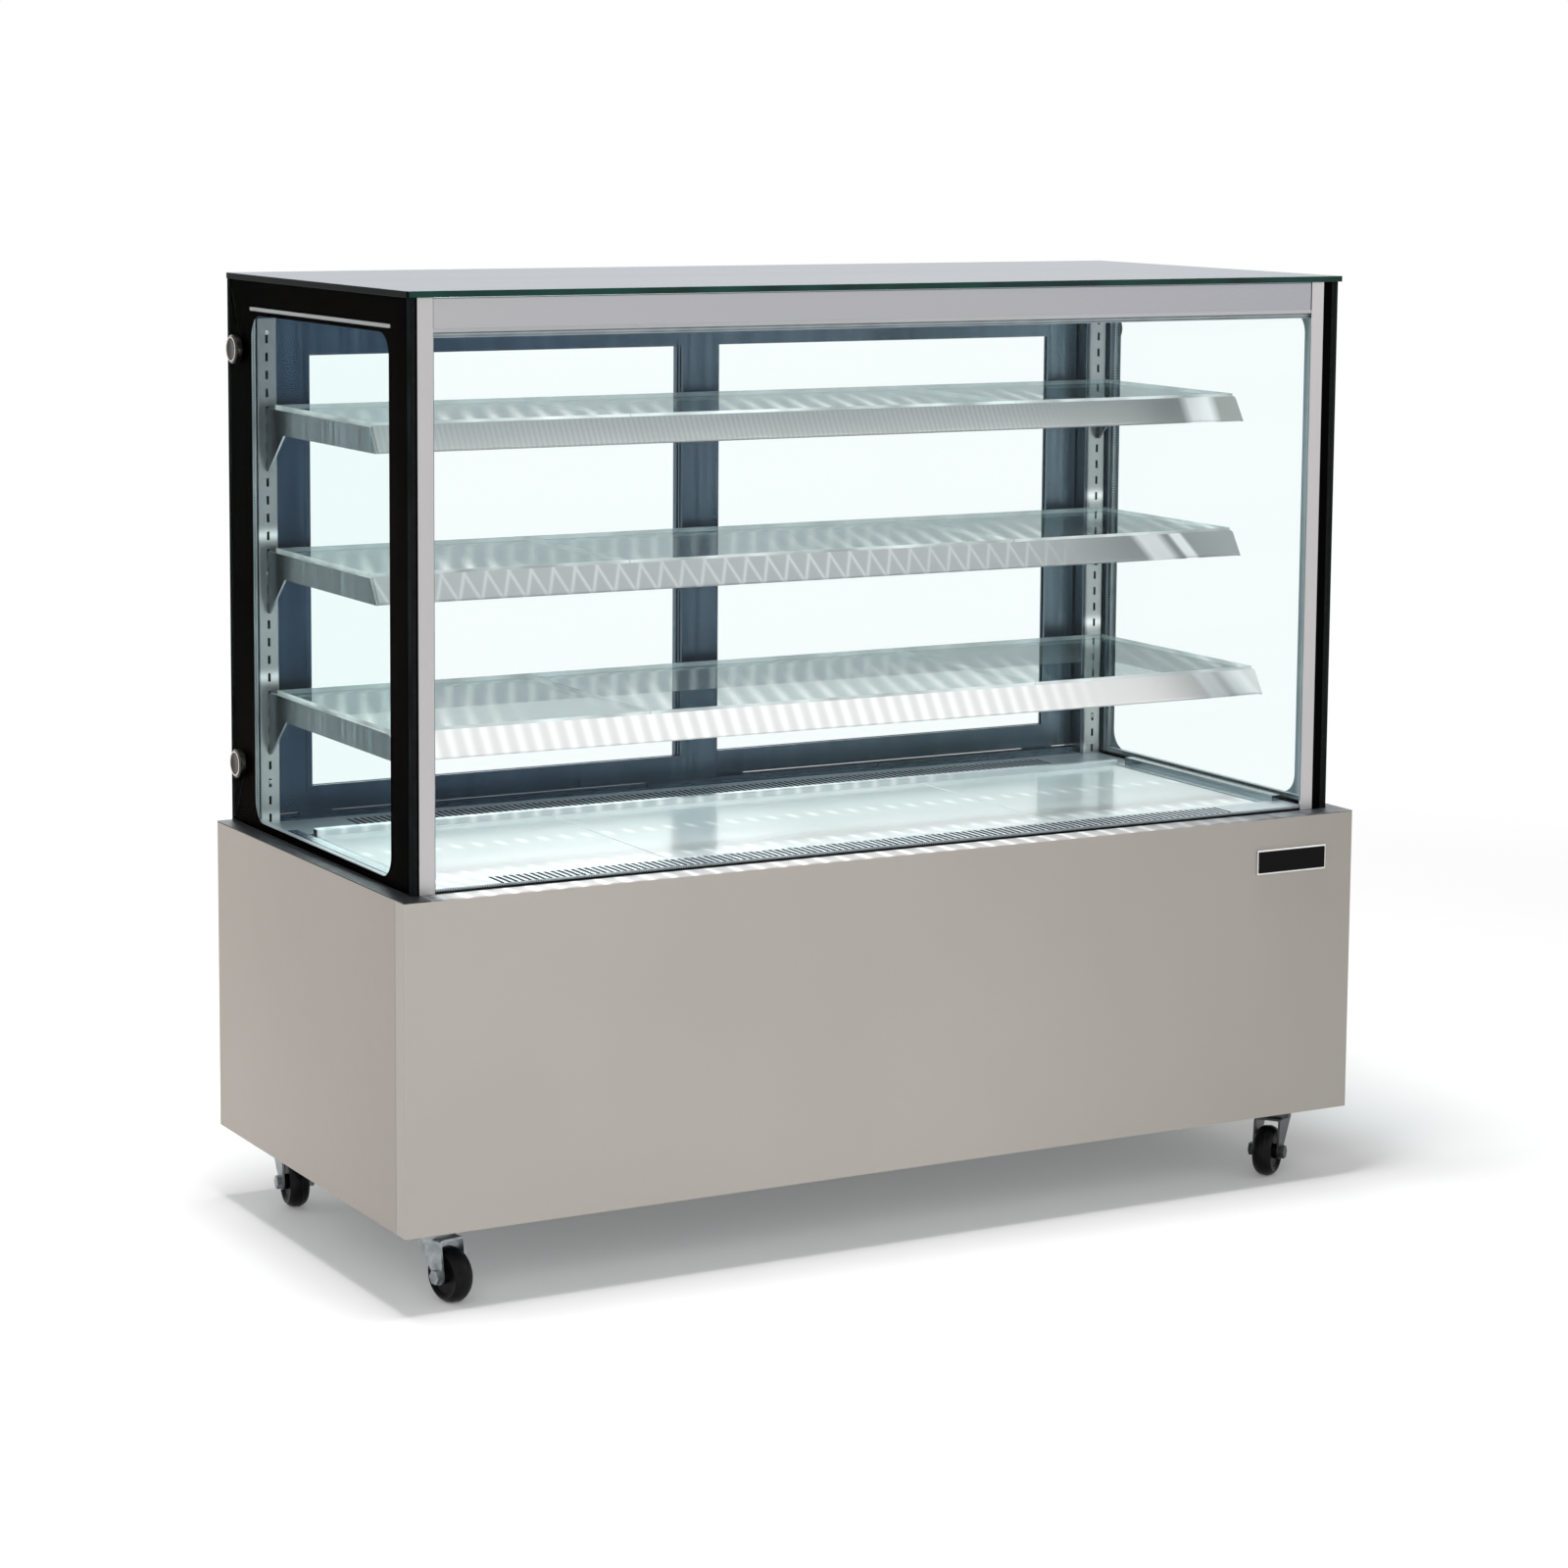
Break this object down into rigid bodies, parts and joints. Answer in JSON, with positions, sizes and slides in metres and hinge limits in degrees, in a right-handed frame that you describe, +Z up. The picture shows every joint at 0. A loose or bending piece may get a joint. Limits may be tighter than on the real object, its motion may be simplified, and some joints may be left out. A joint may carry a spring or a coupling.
{
  "type": "bakery display case",
  "caption": "Refrigerated bakery display case: glass house with lit shelves over a painted base, sliding rear doors and swivel casters.",
  "frame": {"origin": "centre of the footprint on the floor under the casters", "axes": "+X along the case to the customer's right, +Y from the customer's side to the service doors, +Z up"},
  "size_m": [1.5, 0.66, 1.32],
  "materials": {
    "painted_steel": "satin powder coat",
    "brushed_steel": "brushed stainless steel",
    "polished_steel": "polished stainless steel",
    "galvanised_steel": "galvanised",
    "clear_glass": "polished clear",
    "top_glass": "polished, green edge",
    "dark_enamel": "fired glossy black",
    "aluminium_trim": "satin anodised",
    "black_rubber": "matt",
    "wheel_rubber": "matt",
    "deck_white": "glossy white",
    "light_diffuser": "opal",
    "foam_tub": "satin liner over foam",
    "compressor_black": "semi-gloss",
    "finned_coil": "finned",
    "fan_plastic": "matt",
    "copper_line": "bare copper",
    "tray_plastic": "matt",
    "control_plastic": "fine texture",
    "rocker_green": "glossy",
    "rocker_white": "glossy",
    "chrome_knob": "polished",
    "zinc_plate": "bright zinc"
  },
  "bodies": {
    "case": {"floor_pan": "galvanised_steel", "base_uprights": "galvanised_steel", "front_panel": "painted_steel", "side_panel_left": "painted_steel", "side_panel_right": "painted_steel", "rear_panel": "painted_steel", "condenser_grille": "painted_steel", "insulated_well": "foam_tub", "top_rim": "polished_steel", "front_air_grille": "brushed_steel", "rear_air_grille": "brushed_steel", "deck_panels": "deck_white", "deck_side_trims": "brushed_steel", "front_posts": "aluminium_trim", "rear_posts": "brushed_steel", "shelf_standards": "brushed_steel", "header_beam": "aluminium_trim", "top_side_rails": "brushed_steel", "rear_top_rail": "brushed_steel", "rear_bottom_track": "brushed_steel", "front_glass": "clear_glass", "side_glass_left": "clear_glass", "side_glass_right": "clear_glass", "glass_spacers": "aluminium_trim", "enamel_borders": "dark_enamel", "top_glass": "top_glass", "glass_standoffs": "chrome_knob", "glazing_gasket": "black_rubber", "led_strips": "light_diffuser", "shelf_frame_top": "brushed_steel", "shelf_frame_middle": "brushed_steel", "shelf_frame_bottom": "brushed_steel", "shelf_glass_top": "clear_glass", "shelf_glass_middle": "clear_glass", "shelf_glass_bottom": "clear_glass", "compressor": "compressor_black", "condenser_coil": "finned_coil", "fan_shroud": "galvanised_steel", "evaporator_coil": "finned_coil", "evaporator_fan_plate": "galvanised_steel", "refrigerant_lines": "copper_line", "drip_tray": "tray_plastic", "control_panel": "control_plastic", "caster_plates": "zinc_plate"},
    "door_left": {"door_left_frame": "brushed_steel", "door_left_glass": "clear_glass"},
    "door_right": {"door_right_frame": "brushed_steel", "door_right_glass": "clear_glass"},
    "condenser_fan": {"condenser_fan": "fan_plastic"},
    "evaporator_fan": {"evaporator_fan": "fan_plastic"},
    "rocker_power": {"rocker_power": "rocker_green"},
    "rocker_light": {"rocker_light": "rocker_white"},
    "swivel_front_left": {"caster_fork_front_left": "zinc_plate"},
    "wheel_front_left": {"caster_wheel_front_left": "wheel_rubber"},
    "swivel_front_right": {"caster_fork_front_right": "zinc_plate"},
    "wheel_front_right": {"caster_wheel_front_right": "wheel_rubber"},
    "swivel_rear_left": {"caster_fork_rear_left": "zinc_plate"},
    "wheel_rear_left": {"caster_wheel_rear_left": "wheel_rubber"},
    "swivel_rear_right": {"caster_fork_rear_right": "zinc_plate"},
    "wheel_rear_right": {"caster_wheel_rear_right": "wheel_rubber"}
  },
  "joints": [
    {"name": "door_left_slide", "type": "slide", "parent": "case", "child": "door_left", "axis": [1, 0, 0], "range_m": [0, 0.56]},
    {"name": "door_right_slide", "type": "slide", "parent": "case", "child": "door_right", "axis": [1, 0, 0], "range_m": [-0.56, 0]},
    {"name": "condenser_fan_spin", "type": "hinge", "parent": "case", "child": "condenser_fan", "pos_m": [0.23, 0.2, 0.212], "axis": [0, 1, 0], "continuous": true},
    {"name": "evaporator_fan_spin", "type": "hinge", "parent": "case", "child": "evaporator_fan", "pos_m": [0, -0.1, 0.452], "axis": [0, 1, 0], "continuous": true},
    {"name": "rocker_power_tip", "type": "hinge", "parent": "case", "child": "rocker_power", "pos_m": [-0.413, 0.3216, 0.24], "axis": [1, 0, 0], "range_deg": [0, 16]},
    {"name": "rocker_light_tip", "type": "hinge", "parent": "case", "child": "rocker_light", "pos_m": [-0.441, 0.3216, 0.24], "axis": [1, 0, 0], "range_deg": [0, 16]},
    {"name": "caster_swivel_front_left", "type": "hinge", "parent": "case", "child": "swivel_front_left", "pos_m": [-0.674, -0.258, 0.09], "axis": [0, 0, 1], "continuous": true},
    {"name": "caster_roll_front_left", "type": "hinge", "parent": "swivel_front_left", "child": "wheel_front_left", "pos_m": [-0.66776, -0.28734, 0.0375], "axis": [0.9781, 0.2079, 0], "continuous": true},
    {"name": "caster_swivel_front_right", "type": "hinge", "parent": "case", "child": "swivel_front_right", "pos_m": [0.674, -0.258, 0.09], "axis": [0, 0, 1], "continuous": true},
    {"name": "caster_roll_front_right", "type": "hinge", "parent": "swivel_front_right", "child": "wheel_front_right", "pos_m": [0.65004, -0.27605, 0.0375], "axis": [0.6018, -0.7986, 0], "continuous": true},
    {"name": "caster_swivel_rear_left", "type": "hinge", "parent": "case", "child": "swivel_rear_left", "pos_m": [-0.674, 0.258, 0.09], "axis": [0, 0, 1], "continuous": true},
    {"name": "caster_roll_rear_left", "type": "hinge", "parent": "swivel_rear_left", "child": "wheel_rear_left", "pos_m": [-0.67766, 0.22822, 0.0375], "axis": [0.9925, -0.1219, 0], "continuous": true},
    {"name": "caster_swivel_rear_right", "type": "hinge", "parent": "case", "child": "swivel_rear_right", "pos_m": [0.674, 0.258, 0.09], "axis": [0, 0, 1], "continuous": true},
    {"name": "caster_roll_rear_right", "type": "hinge", "parent": "swivel_rear_right", "child": "wheel_rear_right", "pos_m": [0.674, 0.228, 0.0375], "axis": [1, 0, 0], "continuous": true}
  ]
}
